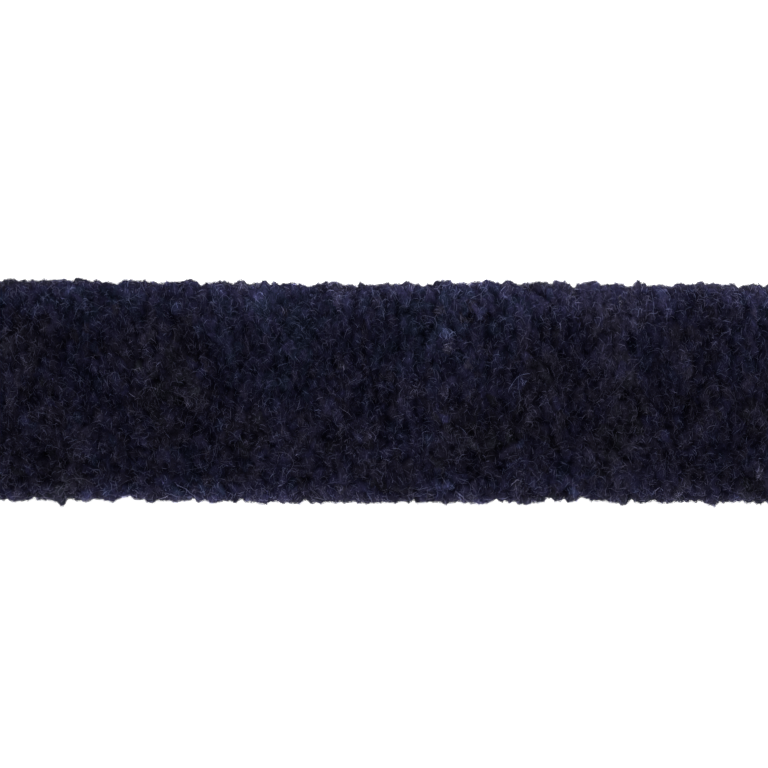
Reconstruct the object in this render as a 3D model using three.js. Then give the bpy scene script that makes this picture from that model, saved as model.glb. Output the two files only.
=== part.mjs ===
// A cut length of tufted braid trim: a dense wool cut pile on a flat plaited ground, lying pile side up.
// Millimetres. +X runs along the braid, +Y across it and +Z up out of the pile.
// The origin is the middle of the ground's flat underside, which is the face that is sewn or glued down.
import * as THREE from 'three';

// Cut length of the pile, and the clearance kept between the two pieces.
const LENGTH = 200;
const GAP = 0.3;

// The plaited ground: a flat tape whose strands turn back in low loops along both selvedges.
const GROUND = { thickness: 1.5, halfWidth: 21, halfLength: 98, loopPitch: 5, loopDepth: 0.4, cornerCut: 0.8 };
const LOOP_STEPS = 3;

// The pile's section. The waist is the height of its widest line, the shoulder is where the rounded flank ends,
// and the skirt is how low the tufts splay down outside the ground, from a short slope beside the underside.
const PILE = { waist: 4.6, shoulder: 8.4, flankReach: 6.5, skirt: 1.2, skirtSlope: 0.4 };
const UNDERSIDE = GROUND.thickness + GAP;
const TUCK = GROUND.halfWidth + GROUND.loopDepth + GAP;

// The cut ends bulge like the flanks: how far in the top, the bottom and the corners start to round, how much
// of the height above the waist is left at the very end, how low its face reaches, and how far its corners draw in.
const END = { topReach: 5, bottomReach: 1.8, cornerReach: 3, topShare: 0.3, faceBottom: 3.7, cornerDepth: 1.2 };
const END_STEPS = [0, 0.6, 1.8, 3, END.topReach];

// How finely a section is divided, and the pitch of the sections along the braid.
const DIVISIONS = { underside: 3, lowerFlank: 2, upperFlank: 3, crown: 13 };
const SECTION_PITCH = 2.3;

// The pile's outline, as uneven as it is woven: how far its edges lie from the centre line, and the crown's height.
const OUTLINE = [
  { along: -100, back: 26.1, front: 25.3, crown: 8.8 },
  { along: -75, back: 26.1, front: 25.1, crown: 9.0 },
  { along: -50, back: 25.7, front: 25.2, crown: 8.8 },
  { along: -25, back: 25.3, front: 25.6, crown: 9.0 },
  { along: 0, back: 25.1, front: 25.6, crown: 9.1 },
  { along: 25, back: 25.5, front: 25.7, crown: 8.9 },
  { along: 50, back: 25.2, front: 25.2, crown: 9.0 },
  { along: 75, back: 24.9, front: 25.6, crown: 8.8 },
  { along: 100, back: 24.6, front: 25.6, crown: 8.9 },
];

// Clumps of tufts raise and sink the pile's skin by up to this much.
const LUMP = { crown: 0.5, flank: 0.25 };

// Blunt locks of yarn stand out of the rim. The outline above is their mean reach, so their roots are set inside it.
const LOCK = { rootInset: 0.35, reach: 0.6, uneven: 0.35, taper: 0.55, lean: 0.3 };

// Locks that stand further out than their neighbours. Side is +1 for the back edge and -1 for the front.
const PROUD_LOCKS = [
  { side: 1, along: -44.5, extra: 0.5 },
  { side: 1, along: -28.7, extra: 0.9 },
  { side: 1, along: 15.1, extra: 0.4 },
  { side: 1, along: 59.8, extra: 0.8 },
  { side: 1, along: 75.1, extra: 0.5 },
  { side: -1, along: -76.5, extra: 1.1 },
  { side: -1, along: -41, extra: 0.5 },
  { side: -1, along: 33, extra: 0.5 },
  { side: -1, along: 56.3, extra: 0.7 },
  { side: -1, along: 77, extra: 0.6 },
];

const NAVY_WOOL = new THREE.MeshStandardMaterial({ color: '#1b1b2e', roughness: 1, metalness: 0 });
const NAVY_STRAND = new THREE.MeshStandardMaterial({ color: '#17172a', roughness: 0.9, metalness: 0 });

// A steady value from -1 to 1 for each pair of counts, different for each purpose.
function uneven(first, second, purpose) {
  const wave = Math.sin(first * 127.1 + second * 311.7 + purpose * 74.7) * 43758.5453;
  return 2 * (wave - Math.floor(wave)) - 1;
}

// One column of the outline table at a place along the braid, straight between its rows.
function outlineAt(x, column) {
  const above = Math.max(OUTLINE.findIndex((row) => row.along >= x), 1);
  const [start, end] = [OUTLINE[above - 1], OUTLINE[above]];
  return THREE.MathUtils.mapLinear(x, start.along, end.along, start[column], end[column]);
}

// A quarter ellipse that rises from 0 at a cut end to 1 at the given distance inside it.
function endRise(x, reach) {
  const short = 1 - Math.min((LENGTH / 2 - Math.abs(x)) / reach, 1);
  return Math.sqrt(1 - short ** 2);
}

// The places of the sections along the braid: close together at the cut ends, and evenly spaced between.
function sectionPlaces() {
  const straight = LENGTH - 2 * END.topReach;
  const count = Math.round(straight / SECTION_PITCH);
  const middle = Array.from({ length: count - 1 }, (_, i) => (straight * (i + 1)) / count - straight / 2);
  const start = END_STEPS.map((step) => step - LENGTH / 2);
  return [...start, ...middle, ...start.map((x) => -x).reverse()];
}

// One flank of the section, from the tuck beside the ground up to the shoulder. Side is +1 for the back.
function flank(x, side) {
  const edge = outlineAt(x, side > 0 ? 'back' : 'front') - LOCK.rootInset;
  const rounded = edge - END.cornerDepth * (1 - endRise(x, END.cornerReach));
  const inner = TUCK + PILE.skirtSlope;
  const quarter = Math.PI / 2;
  const points = [];
  for (let i = 0; i <= DIVISIONS.lowerFlank; i++) {
    const angle = quarter * (1 - i / DIVISIONS.lowerFlank);
    const y = inner + (rounded - inner) * Math.cos(angle);
    points.push([side * y, PILE.waist - (PILE.waist - PILE.skirt) * Math.sin(angle)]);
  }
  for (let i = 1; i <= DIVISIONS.upperFlank; i++) {
    const angle = (quarter * i) / DIVISIONS.upperFlank;
    const y = rounded - PILE.flankReach * (1 - Math.cos(angle));
    points.push([side * y, PILE.waist + (PILE.shoulder - PILE.waist) * Math.sin(angle)]);
  }
  return points;
}

// The gently domed top between the back shoulder and the front one, without the shoulders themselves.
function crown(x, backShoulder, frontShoulder) {
  const rise = outlineAt(x, 'crown') - PILE.shoulder;
  return Array.from({ length: DIVISIONS.crown - 1 }, (_, i) => {
    const share = (i + 1) / DIVISIONS.crown;
    const y = THREE.MathUtils.lerp(backShoulder, frontShoulder, share);
    return [y, PILE.shoulder + rise * (1 - (2 * share - 1) ** 2)];
  });
}

// The whole section as points [x, y, z]: along the underside, up the back flank, over the crown, down the front.
function pileSection(x, row) {
  const underside = Array.from({ length: DIVISIONS.underside + 1 }, (_, i) => {
    return [TUCK * ((2 * i) / DIVISIONS.underside - 1), UNDERSIDE];
  });
  const back = flank(x, 1);
  const front = flank(x, -1).reverse();
  const top = crown(x, back[back.length - 1][0], front[0][0]);
  const topRise = endRise(x, END.topReach);
  const bottomRise = endRise(x, END.bottomReach);
  return [...underside, ...back, ...top, ...front].map(([y, z], i) => {
    if (z < PILE.waist) return [x, y, THREE.MathUtils.lerp(END.faceBottom, z, bottomRise)];
    const onFlank = z < PILE.shoulder;
    const lump = uneven(row, i, 1) * topRise * (onFlank ? LUMP.flank : LUMP.crown);
    const height = PILE.waist + (z - PILE.waist) * Math.max(topRise, END.topShare);
    return onFlank ? [x, y + Math.sign(y) * lump, height] : [x, y, height + lump];
  });
}

// How much further than its neighbours a lock at this place stands out, from the table of proud ones.
function proudExtra(x, side) {
  const found = PROUD_LOCKS.find((row) => row.side === side && Math.abs(row.along - x) < SECTION_PITCH);
  return found ? found.extra : 0;
}

// The mean of some points.
function middleOf(points) {
  return points.reduce((sum, p) => sum.add(p), new THREE.Vector3()).divideScalar(points.length);
}

// The four tip corners of a lock that grows out of a face of the skin: drawn in, pushed out and leaning its own way.
function lockTip(corners, count) {
  const centre = middleOf(corners);
  const outward = corners[2].clone().sub(corners[0]).cross(corners[3].clone().sub(corners[1])).normalize();
  const lean = new THREE.Vector3(uneven(count, 1, 3), uneven(count, 2, 3), uneven(count, 3, 3));
  const extra = centre.z < PILE.waist + 1 ? proudExtra(centre.x, Math.sign(centre.y)) : 0;
  const reach = LOCK.reach + LOCK.uneven * uneven(count, 4, 3) + extra;
  const push = outward.addScaledVector(lean, LOCK.lean).multiplyScalar(reach);
  return corners.map((p) => centre.clone().lerp(p, LOCK.taper).add(push));
}

// A closed surface through sections of equal point counts, each end closed by a fan about its middle. Where hasLock
// says so, a face of the skin grows into a blunt four-sided lock, so the lock is fused to the slab at its root.
function tuftedLoft(sections, hasLock) {
  const around = sections[0].length;
  const points = sections.flat().map((p) => new THREE.Vector3(...p));
  const faces = [];
  const quad = (a, b, c, d) => faces.push(a, b, c, a, c, d);
  for (let s = 0; s + 1 < sections.length; s++) {
    for (let i = 0; i < around; i++) {
      const next = (i + 1) % around;
      const root = [s * around + i, s * around + next, (s + 1) * around + next, (s + 1) * around + i];
      if (!hasLock(s, i)) {
        quad(...root);
        continue;
      }
      const tip = root.map((_, k) => points.length + k);
      points.push(...lockTip(root.map((k) => points[k]), points.length));
      quad(...tip);
      for (let k = 0; k < 4; k++) quad(root[k], root[(k + 1) % 4], tip[(k + 1) % 4], tip[k]);
    }
  }
  const last = (sections.length - 1) * around;
  for (const first of [0, last]) {
    const middle = points.length;
    points.push(middleOf(points.slice(first, first + around)));
    for (let i = 0; i < around; i++) {
      const edge = [first + i, first + ((i + 1) % around)];
      faces.push(middle, ...(first === last ? edge : edge.reverse()));
    }
  }
  return new THREE.BufferGeometry().setFromPoints(points).setIndex(faces);
}

// The pile: a lumpy domed slab with locks of yarn all round its rim, fused at their roots. Every second face
// of the three rows about each waist line grows a lock, and every second face of the crown's last two rows at the ends.
function pile() {
  const sections = sectionPlaces().map(pileSection);
  const backStart = DIVISIONS.underside + 1;
  const waistRow = backStart + DIVISIONS.lowerFlank;
  const crownStart = waistRow + DIVISIONS.upperFlank;
  const crownEnd = crownStart + DIVISIONS.crown;
  const frontWaistRow = crownEnd + DIVISIONS.upperFlank;
  const endRows = 2;
  const hasLock = (s, i) => {
    if ((s + i) % 2) return false;
    const onBack = i >= waistRow - 1 && i <= waistRow + 1;
    const onFront = i >= frontWaistRow - 2 && i <= frontWaistRow;
    const atEnd = s < endRows || s >= sections.length - 1 - endRows;
    const onEnd = atEnd && i >= crownStart && i < crownEnd;
    return onEnd || (!atEnd && (onBack || onFront));
  };
  const mesh = new THREE.Mesh(tuftedLoft(sections, hasLock), NAVY_WOOL);
  mesh.name = 'pile';
  return mesh;
}

// The ground: a flat tape whose long edges swell in a low loop at each turn of the plait.
function groundBraid() {
  const { thickness, halfWidth, halfLength, loopPitch, loopDepth, cornerCut } = GROUND;
  const steps = Math.round(((2 * halfLength) / loopPitch) * LOOP_STEPS);
  const sections = Array.from({ length: steps + 1 }, (_, i) => {
    const x = (2 * halfLength * i) / steps - halfLength;
    const cut = i === 0 || i === steps ? cornerCut : 0;
    const y = halfWidth - cut + loopDepth * Math.abs(Math.sin((Math.PI * x) / loopPitch));
    return [[x, -y, 0], [x, y, 0], [x, y, thickness], [x, -y, thickness]];
  });
  const mesh = new THREE.Mesh(tuftedLoft(sections, () => false), NAVY_STRAND);
  mesh.name = 'ground_braid';
  return mesh;
}

const trim = new THREE.Group();
trim.add(groundBraid(), pile());

export default trim;
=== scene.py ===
# %% [markdown]
# # A tufted braid trim, lying pile side up
#
# The real thing is a band of wool pile two inches wide, the sort that is sewn along the edge of a curtain
# or a chair. Its back is a flat plaited tape, and thousands of short wool ends stand up out of it so
# closely that only their tips show. Seen from above it is near-black navy, lumpy in clumps two or three
# millimetres across, with dark gaps between them, and covered with fine curly hairs.
#
# This lesson dresses the plain solids of the model in four layers: a lumpy skin, a fur of short bent
# fibres, some long loose hairs, and the plaited ground underneath. Lengths in the code are in metres,
# but for names that end in PX or MM.

import math

import bpy
import numpy as np
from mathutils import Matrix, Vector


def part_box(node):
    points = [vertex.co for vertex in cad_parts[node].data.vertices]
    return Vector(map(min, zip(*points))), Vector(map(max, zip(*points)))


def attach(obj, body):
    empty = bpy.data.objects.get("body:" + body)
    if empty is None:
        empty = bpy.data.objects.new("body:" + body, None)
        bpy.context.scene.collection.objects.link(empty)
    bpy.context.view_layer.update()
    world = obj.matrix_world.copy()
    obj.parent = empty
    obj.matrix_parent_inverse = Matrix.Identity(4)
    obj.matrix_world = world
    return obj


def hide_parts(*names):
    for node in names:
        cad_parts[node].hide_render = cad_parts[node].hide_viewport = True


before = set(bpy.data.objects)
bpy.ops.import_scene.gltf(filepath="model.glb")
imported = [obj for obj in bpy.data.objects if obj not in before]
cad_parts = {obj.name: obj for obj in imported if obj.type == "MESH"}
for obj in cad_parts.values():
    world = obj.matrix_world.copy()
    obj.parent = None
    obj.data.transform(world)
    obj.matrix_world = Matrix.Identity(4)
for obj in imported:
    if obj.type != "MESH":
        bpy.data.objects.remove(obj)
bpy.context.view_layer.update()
pile_low = np.array(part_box("pile")[0])
ground_low, ground_high = (np.array(corner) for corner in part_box("ground_braid"))

# %% [markdown]
# ## The camera and the light
#
# The photograph was taken straight down on the braid, which crosses the whole picture a little below the
# middle. Its band is 216.5 pixels wide, and two inches wide in reality, which gives the size of a pixel
# and so the width of the picture. The height of the camera follows from the lens. A longer lens from
# further away would look almost the same, because the pile is only nine millimetres deep.

# %% Place the camera
PHOTO_PX = 768
BAND_PX = 216.5
BAND_WIDTH = 0.051
BAND_BELOW_MIDDLE_PX = 8.15
LENS_MM = 100
SENSOR_MM = 36
WAIST = 0.0046

pixel = BAND_WIDTH / BAND_PX
picture_width = PHOTO_PX * pixel
camera_height = WAIST + picture_width * LENS_MM / SENSOR_MM

camera = bpy.data.objects.new("camera", bpy.data.cameras.new("camera"))
camera.data.lens = LENS_MM
camera.data.sensor_width = SENSOR_MM
camera.location = (0, BAND_BELOW_MIDDLE_PX * pixel, camera_height)
bpy.context.scene.collection.objects.link(camera)
bpy.context.scene.camera = camera
print("picture", round(picture_width * 1000, 1), "mm wide, camera", round(camera_height * 1000), "mm up")

# %% [markdown]
# The background is pure white with no shadow, as on a lit table. A floor that glows a little does the
# same: it stays white where the braid shades it, and it lights the rim of the pile from below, which is
# partly why the edges of the braid look paler than its middle; the rest is painted highlight on the wool.
# A white sky and one wide lamp give the soft light from above.


# %% Lay a lit floor
def node_material(name):
    """A new material, the Principled shader that it starts with, and its node tree."""
    material = bpy.data.materials.new(name)
    material.use_nodes = True
    return material, material.node_tree.nodes["Principled BSDF"], material.node_tree


FLOOR_SIDE = 3.0
FLOOR_DROP = 0.00005
FLOOR_GLOW = 0.7
FLOOR_GREY = 0.8
floor_mesh = bpy.data.meshes.new("floor")
half = FLOOR_SIDE / 2
floor_mesh.from_pydata(
    [(x, y, -FLOOR_DROP) for x, y in ((-half, -half), (half, -half), (half, half), (-half, half))],
    [],
    [(0, 1, 2, 3)],
)
floor = bpy.data.objects.new("floor", floor_mesh)
bpy.context.scene.collection.objects.link(floor)
floor_finish, floor_shader, _ = node_material("lit table")
floor_shader.inputs["Base Color"].default_value = (FLOOR_GREY, FLOOR_GREY, FLOOR_GREY, 1)
floor_shader.inputs["Roughness"].default_value = 1
floor_shader.inputs["Specular IOR Level"].default_value = 0
floor_shader.inputs["Emission Color"].default_value = (1, 1, 1, 1)
floor_shader.inputs["Emission Strength"].default_value = FLOOR_GLOW
floor.data.materials.append(floor_finish)
print("floor", FLOOR_SIDE, "m square")

# %% Light the scene
sky = bpy.data.worlds.new("white room")
sky.use_nodes = True
sky.node_tree.nodes["Background"].inputs["Color"].default_value = (1, 1, 1, 1)
sky.node_tree.nodes["Background"].inputs["Strength"].default_value = 1.0
bpy.context.scene.world = sky

LAMP_RIGHT = 0.1
LAMP_BACK = 0.6
LAMP_UP = 0.7
LAMP_LONG = 1.2
LAMP_DEEP = 0.4
LAMP_WATTS = 6
lamp = bpy.data.objects.new("wide lamp", bpy.data.lights.new("wide lamp", "AREA"))
lamp.data.shape = "RECTANGLE"
lamp.data.size = LAMP_LONG
lamp.data.size_y = LAMP_DEEP
lamp.data.energy = LAMP_WATTS
lamp.location = (LAMP_RIGHT, LAMP_BACK, LAMP_UP)
lamp.rotation_euler = (-math.atan2(LAMP_BACK, LAMP_UP), 0, 0)
bpy.context.scene.collection.objects.link(lamp)
bpy.context.scene.view_settings.view_transform = "Standard"
print("lamp", LAMP_LONG, "m long, of", LAMP_WATTS, "W")

# %% [markdown]
# ## The surface of the pile
#
# Everything in the pile is placed by two distances on its surface: `along` the braid and `across` it,
# both measured over the curve as a tape measure would. So a tuft on the rounded rim is as wide as one on
# the flat top. The section is two quarter ellipses at each rim, one below the widest line and one above
# it, joined by a low dome. The cut ends round over in the same way.
#
# Where the rims lie is read from the solid: its waist points give the edge all along the braid, so the
# dressed pile follows the solid even where the weaving is uneven.

# %% Measure the rims on the solid
SKIRT = pile_low[2]
SHOULDER = 0.0084
CROWN = 0.0089
FLANK_REACH = 0.0065
SKIRT_REACH = 0.0034
HALF_LENGTH = 0.100
END_REACH = 0.005
END_UNDER_REACH = 0.0018
END_START = HALF_LENGTH - END_REACH
GROUND_GAP = 0.0003
UNDERSIDE = ground_high[2] + GROUND_GAP
CORNER_DEPTH = 0.0012
LOCK_REACH = 0.00024
SAME_HEIGHT = 2e-6
SMOOTHED_OVER = 9

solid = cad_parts["pile"].data
solid_points = np.empty(len(solid.vertices) * 3, dtype=np.float32)
solid.vertices.foreach_get("co", solid_points)
solid_points = solid_points.reshape(-1, 3).astype(float)


def rim_line(side):
    """Places along one rim and their distances from the centre line, from the solid's waist points.

    The back rim is side 1 and the front rim side -1, here and in every table by side. Each distance is the
    mean of its own and its neighbours', which takes the corners off, and a little is added for the ends of
    the locks.
    """
    at_waist = np.abs(solid_points[:, 2] - WAIST) < SAME_HEIGHT
    inside = np.abs(solid_points[:, 0]) < END_START
    chosen = solid_points[at_waist & inside & (solid_points[:, 1] * side > 0)]
    places, first = np.unique(np.round(chosen[:, 0], 5), return_index=True)
    reach = np.abs(chosen[first, 1]) + LOCK_REACH
    window = np.ones(SMOOTHED_OVER) / SMOOTHED_OVER
    padded = np.pad(reach, SMOOTHED_OVER // 2, mode="edge")
    return places, np.convolve(padded, window, mode="valid")


rims = {1: rim_line(1), -1: rim_line(-1)}
for side, (places, reach) in rims.items():
    print("rim", side, len(places), "points", np.round(reach[[0, len(reach) // 2, -1]] * 1000, 2), "mm")


# %% The half section, by length over the curve
PROFILE_STEPS = 200


def half_profile():
    """Lengths over the curve, insets from the rim and heights, from the skirt's inner foot up to the
    centre line.

    The lower flank is a quarter ellipse from the skirt to the waist, the upper one from the waist to the
    shoulder, and the crown rises from the shoulder as a parabola. Insets are for a band of the nominal
    width.
    """
    low = np.linspace(-math.pi / 2, 0, PROFILE_STEPS)
    high = np.linspace(0, math.pi / 2, PROFILE_STEPS)
    share = np.linspace(0, 1, PROFILE_STEPS)
    middle = BAND_WIDTH / 2 - FLANK_REACH
    inset = np.concatenate(
        [SKIRT_REACH * (1 - np.cos(low)), FLANK_REACH * (1 - np.cos(high)), FLANK_REACH + middle * share]
    )
    height = np.concatenate(
        [
            WAIST + (WAIST - SKIRT) * np.sin(low),
            WAIST + (SHOULDER - WAIST) * np.sin(high),
            SHOULDER + (CROWN - SHOULDER) * (1 - (1 - share) ** 2),
        ]
    )
    run = np.concatenate([[0], np.cumsum(np.hypot(np.diff(inset), np.diff(height)))])
    return run, inset, height


profile_run, profile_inset, profile_height = half_profile()
HALF_ACROSS = profile_run[-1]
WAIST_RUN = profile_run[PROFILE_STEPS - 1]


def quarter_arc(reach, rise):
    """The length of a quarter ellipse, nearly: a quarter turn times the root mean square of its radii."""
    return math.pi / 2 * math.sqrt((reach**2 + rise**2) / 2)


END_ARC = quarter_arc(END_REACH, CROWN - WAIST)
END_UNDER_ARC = quarter_arc(END_UNDER_REACH, WAIST - UNDERSIDE)
HALF_ALONG = END_START + END_ARC + END_UNDER_ARC
print("over the curve the pile is", round(2 * HALF_ACROSS * 1000, 1), "mm across")


# %% A point of the surface, and the way it faces
def pile_point(along, across):
    """Points of the smooth pile surface, as an array with x, y, z last.

    across is 0 on the centre line and positive towards the back rim. The length left to the skirt looks
    up the inset and the height in the half section, and the inset counts from the measured rim. Past the
    start of a cut end the top falls to the waist as a quarter ellipse while x still grows and the rim
    draws in, which rounds the corners. Then a smaller quarter ellipse takes all of it down and back to the
    underside.
    """
    past = np.abs(along) - END_START
    turn = np.clip(past / END_ARC, 0, 1) * math.pi / 2
    under = np.clip((past - END_ARC) / END_UNDER_ARC, 0, 1) * math.pi / 2
    reach = END_REACH * np.sin(turn) - END_UNDER_REACH * (1 - np.cos(under))
    x = np.sign(along) * (np.minimum(np.abs(along), END_START) + reach)
    left = HALF_ACROSS - np.abs(across)
    inset = np.interp(left, profile_run, profile_inset)
    height = np.interp(left, profile_run, profile_height)
    back = np.interp(x, *rims[1])
    front = np.interp(x, *rims[-1])
    rim = np.where(across >= 0, back, front) - CORNER_DEPTH * (1 - np.cos(turn))
    nominal = BAND_WIDTH / 2
    inner = np.clip((inset - FLANK_REACH) / (nominal - FLANK_REACH), 0, 1)
    y = (rim - inset - inner * (rim - nominal)) * (1 - SKIRT_REACH * (1 - np.cos(under)) / nominal)
    z = np.where(height > WAIST, WAIST + (height - WAIST) * np.cos(turn), height)
    z = z + (UNDERSIDE - z) * np.sin(under)
    return np.stack([x, np.where(across >= 0, y, -y), z], axis=-1)


NEVER_ZERO = 1e-12


def pile_facing(along, across, step=2e-4):
    """Outward unit normals: the cross product of the surface's slopes along and across, by differences."""
    inside = np.clip(along, -HALF_ALONG + step, HALF_ALONG - step)
    over = np.clip(across, -HALF_ACROSS + step, HALF_ACROSS - step)
    slope_along = pile_point(inside + step, over) - pile_point(inside - step, over)
    slope_across = pile_point(inside, over + step) - pile_point(inside, over - step)
    facing = np.cross(slope_along, slope_across)
    return facing / np.maximum(np.linalg.norm(facing, axis=-1, keepdims=True), NEVER_ZERO)


middle_top = pile_point(np.zeros(1), np.zeros(1))[0]
print("the middle of the pile stands", round(middle_top[2] * 1000, 1), "mm high")


# %% [markdown]
# ## The tufts
#
# Each tuft is one end of woollen yarn. They stand in rows, but the yarn blooms where it is cut, so the
# rows can't be seen and the surface is a crowd of clumps, each a little higher or lower than the next.
# Over the middle they lean across the braid, and towards the rims more and more each its own way. A grid
# of centres, each moved by chance, gives that crowd. Its values are kept in small tables, one entry a
# tuft, and both the skin and the fibres look their own tuft up in them, so they always agree. Tables
# blended with their neighbours give the patches, because the yarn comes off the loom a little bluer here
# and greyer there.

# %% Scatter the tufts
TUFT_PITCH = 0.0021
UNEVEN = 0.42
LEAN_SPREAD_ACROSS = [(-0.022, 0.80), (-0.010, 0.55), (-0.004, 0.25), (0.016, 0.25), (0.024, 0.50)]
SEED = 1851
rng = np.random.default_rng(SEED)
tuft_rows = int(round(2 * HALF_ALONG / TUFT_PITCH)) + 2
tuft_columns = int(round(2 * HALF_ACROSS / TUFT_PITCH)) + 2
tuft_shape = (tuft_rows, tuft_columns)
row_places = (np.arange(tuft_rows) - (tuft_rows - 1) / 2) * TUFT_PITCH
column_places = (np.arange(tuft_columns) - (tuft_columns - 1) / 2) * TUFT_PITCH
tuft_along = row_places[:, None] + rng.uniform(-UNEVEN, UNEVEN, tuft_shape) * TUFT_PITCH
tuft_across = column_places[None, :] + rng.uniform(-UNEVEN, UNEVEN, tuft_shape) * TUFT_PITCH
tuft_tone = rng.normal(0, 1, tuft_shape)
tuft_hue = rng.normal(0, 1, tuft_shape)
lean_spread = np.interp(column_places, *np.array(LEAN_SPREAD_ACROSS).T)
tuft_lean = math.pi / 2 + lean_spread * rng.normal(0, 1, tuft_shape)
WORN_SHARE = 0.005
WORN_PALER = 0.45
WORN_HUE = 0.2
tuft_paler = np.where(rng.uniform(0, 1, tuft_shape) < WORN_SHARE, WORN_PALER, 0.0)
own_hue = np.where(tuft_paler > 0, WORN_HUE, np.nan)
print(tuft_rows * tuft_columns, "tufts")


# %% Blend them into patches
def patches(rounds):
    """A table of chance, blended with its neighbours so that tufts near each other are alike.

    The more rounds, the wider the patches. The spread is kept.
    """
    table = rng.normal(0, 1, tuft_shape)
    spread = table.std()
    for _ in range(rounds):
        padded = np.pad(table, 1, mode="edge")
        neighbours = padded[:-2, 1:-1] + padded[2:, 1:-1] + padded[1:-1, :-2] + padded[1:-1, 2:]
        table = (neighbours + 2 * table) / 6
    return table * spread / table.std()


tuft_patch = patches(rounds=6)
tuft_group = patches(rounds=1)
hue_patch = patches(rounds=8)
hue_region = patches(rounds=60)
RISE_SPREAD = 0.00020
GROUP_SPREAD = 0.00022
tuft_rise = RISE_SPREAD * rng.normal(0, 1, tuft_shape) + GROUP_SPREAD * tuft_group
print("tufts differ in height by", round(tuft_rise.std() * 1000, 2), "mm on average")

# %% [markdown]
# The colour also drifts slowly from one end of the braid to the other. Over the length in the picture it
# is bluest in the middle, and darkest towards the left, most of all along the back rim. A painted picture
# could hold that, but two simple curves by the tufts' places say it in a few values.

# %% Let the colour drift
MIDDLE_BLUER = 0.15
MIDDLE_REACH = 0.045
LEFT_DARKER = 0.12
LEFT_BACK_DARKER = 0.18
LEFT_FROM = -0.03
LEFT_REACH = 0.05
BACK_REACH = 0.02
middle_share = np.exp(-((row_places / MIDDLE_REACH) ** 2))
hue_drift = MIDDLE_BLUER * (middle_share - middle_share.mean())
left_share = np.clip((LEFT_FROM - row_places) / LEFT_REACH, 0, 1)
back_share = np.clip(column_places / BACK_REACH, 0, 1)
darker = left_share[:, None] * (LEFT_DARKER + LEFT_BACK_DARKER * back_share)
tone_drift = darker.mean() - darker
print("the tone drifts by", np.ptp(tone_drift).round(2), "and the hue by", np.ptp(hue_drift).round(2))

# %% [markdown]
# Some tufts catch the eye in the photograph: the worn ones, which are paler and greyer, and the indigo
# ones, which took more dye. Chance would put them elsewhere, so they are listed from left to right: the
# place along and across in metres from the middle, how much paler, and the hue.

# %% Mark single tufts
MARKED_TUFTS = [
    (-0.0881, -0.0030, 0.6, 0.2), (-0.0624, 0.0184, 0.6, 0.2), (-0.0608, 0.0003, 0.3, 0.7),
    (-0.0466, 0.0163, 0.5, 0.2), (-0.0445, 0.0253, 0.2, 0.7), (-0.0375, 0.0231, 0.2, 0.7),
    (-0.0240, 0.0189, 0.5, 0.2), (-0.0219, 0.0231, 0.2, 0.7), (-0.0219, 0.0069, 0.3, 0.7),
    (-0.0111, 0.0064, 0.6, 0.1), (0.0137, 0.0142, 0.8, 0.9), (0.0155, -0.0061, 0.2, 0.7),
    (0.0191, 0.0158, 0.6, 0.2), (0.0198, 0.0055, 0.5, 0.2), (0.0228, -0.0063, 0.2, 0.7),
    (0.0304, -0.0160, 0.3, 0.7), (0.0316, -0.0124, 0.5, 0.9), (0.0436, -0.0141, 0.3, 0.7),
    (0.0568, 0.0076, 0.6, 0.2),
]


def over_curve(y):
    """The distance across the curve of a place y seen from above: the half section, looked up backwards."""
    upper = slice(PROFILE_STEPS, None)
    left = np.interp(BAND_WIDTH / 2 - np.abs(y), profile_inset[upper], profile_run[upper])
    return np.sign(y) * (HALF_ACROSS - left)


for x, y, paler, hue in MARKED_TUFTS:
    row = int(round(x / TUFT_PITCH + (tuft_rows - 1) / 2))
    column = int(round(over_curve(y) / TUFT_PITCH + (tuft_columns - 1) / 2))
    tuft_paler[row, column] = paler
    own_hue[row, column] = hue
print(len(MARKED_TUFTS), "tufts marked")


# %% [markdown]
# ## The lumps
#
# Two kinds of unevenness go on top of the tufts' own: a noise that moves places sideways, so that no tuft
# is round, and small crumbs. Blender has noise textures, but here the fibres must stand on the same surface
# as the skin, so the noise is worked out with the shapes.

# %% Soft noise over the pile
WARP_PITCH = 0.0011
CRUMB_PITCH = 0.00055
LAST_CELL = 1.001


def noise_table(pitch):
    """Random values from -1 to 1 on a grid of this pitch, wide enough for the whole pile."""
    rows = int(2 * HALF_ALONG / pitch) + 4
    columns = int(2 * HALF_ACROSS / pitch) + 4
    return pitch, rng.uniform(-1, 1, (rows, columns))


def soft_noise(along, across, table):
    """Value noise: the four table values around a point, blended with weights that start and end level."""
    pitch, values = table
    u = np.clip(along / pitch + values.shape[0] / 2, 0, values.shape[0] - LAST_CELL)
    v = np.clip(across / pitch + values.shape[1] / 2, 0, values.shape[1] - LAST_CELL)
    i, j = u.astype(int), v.astype(int)
    f, g = u - i, v - j
    f, g = f * f * (3 - 2 * f), g * g * (3 - 2 * g)
    near = values[i, j] * (1 - g) + values[i, j + 1] * g
    far = values[i + 1, j] * (1 - g) + values[i + 1, j + 1] * g
    return near * (1 - f) + far * f


warp_along = noise_table(WARP_PITCH)
warp_across = noise_table(WARP_PITCH)
crumb = noise_table(CRUMB_PITCH)
print("noise tables of", warp_along[1].size, "and", crumb[1].size, "values")

# %% Lumps of the tufted surface
LUMP_HEIGHT = 0.0008
LUMP_RADIUS = 0.0014
LUMP_SHARPNESS = 6000
LUMP_STRETCH = 1.35
WARP = 0.0006
CRUMB_HEIGHT = 0.00014
RIM_CRUMBS = 2.6
RIM_LUMPS = 0.4
RIM_BAND = 0.0025
SKIRT_FADE = 0.003


def unit(value, low, high):
    """Maps low..high to 0..1 and stops there."""
    return np.clip((value - low) / (high - low), 0, 1)


lean_along = np.cos(tuft_lean)
lean_across = np.sin(tuft_lean)


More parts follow.
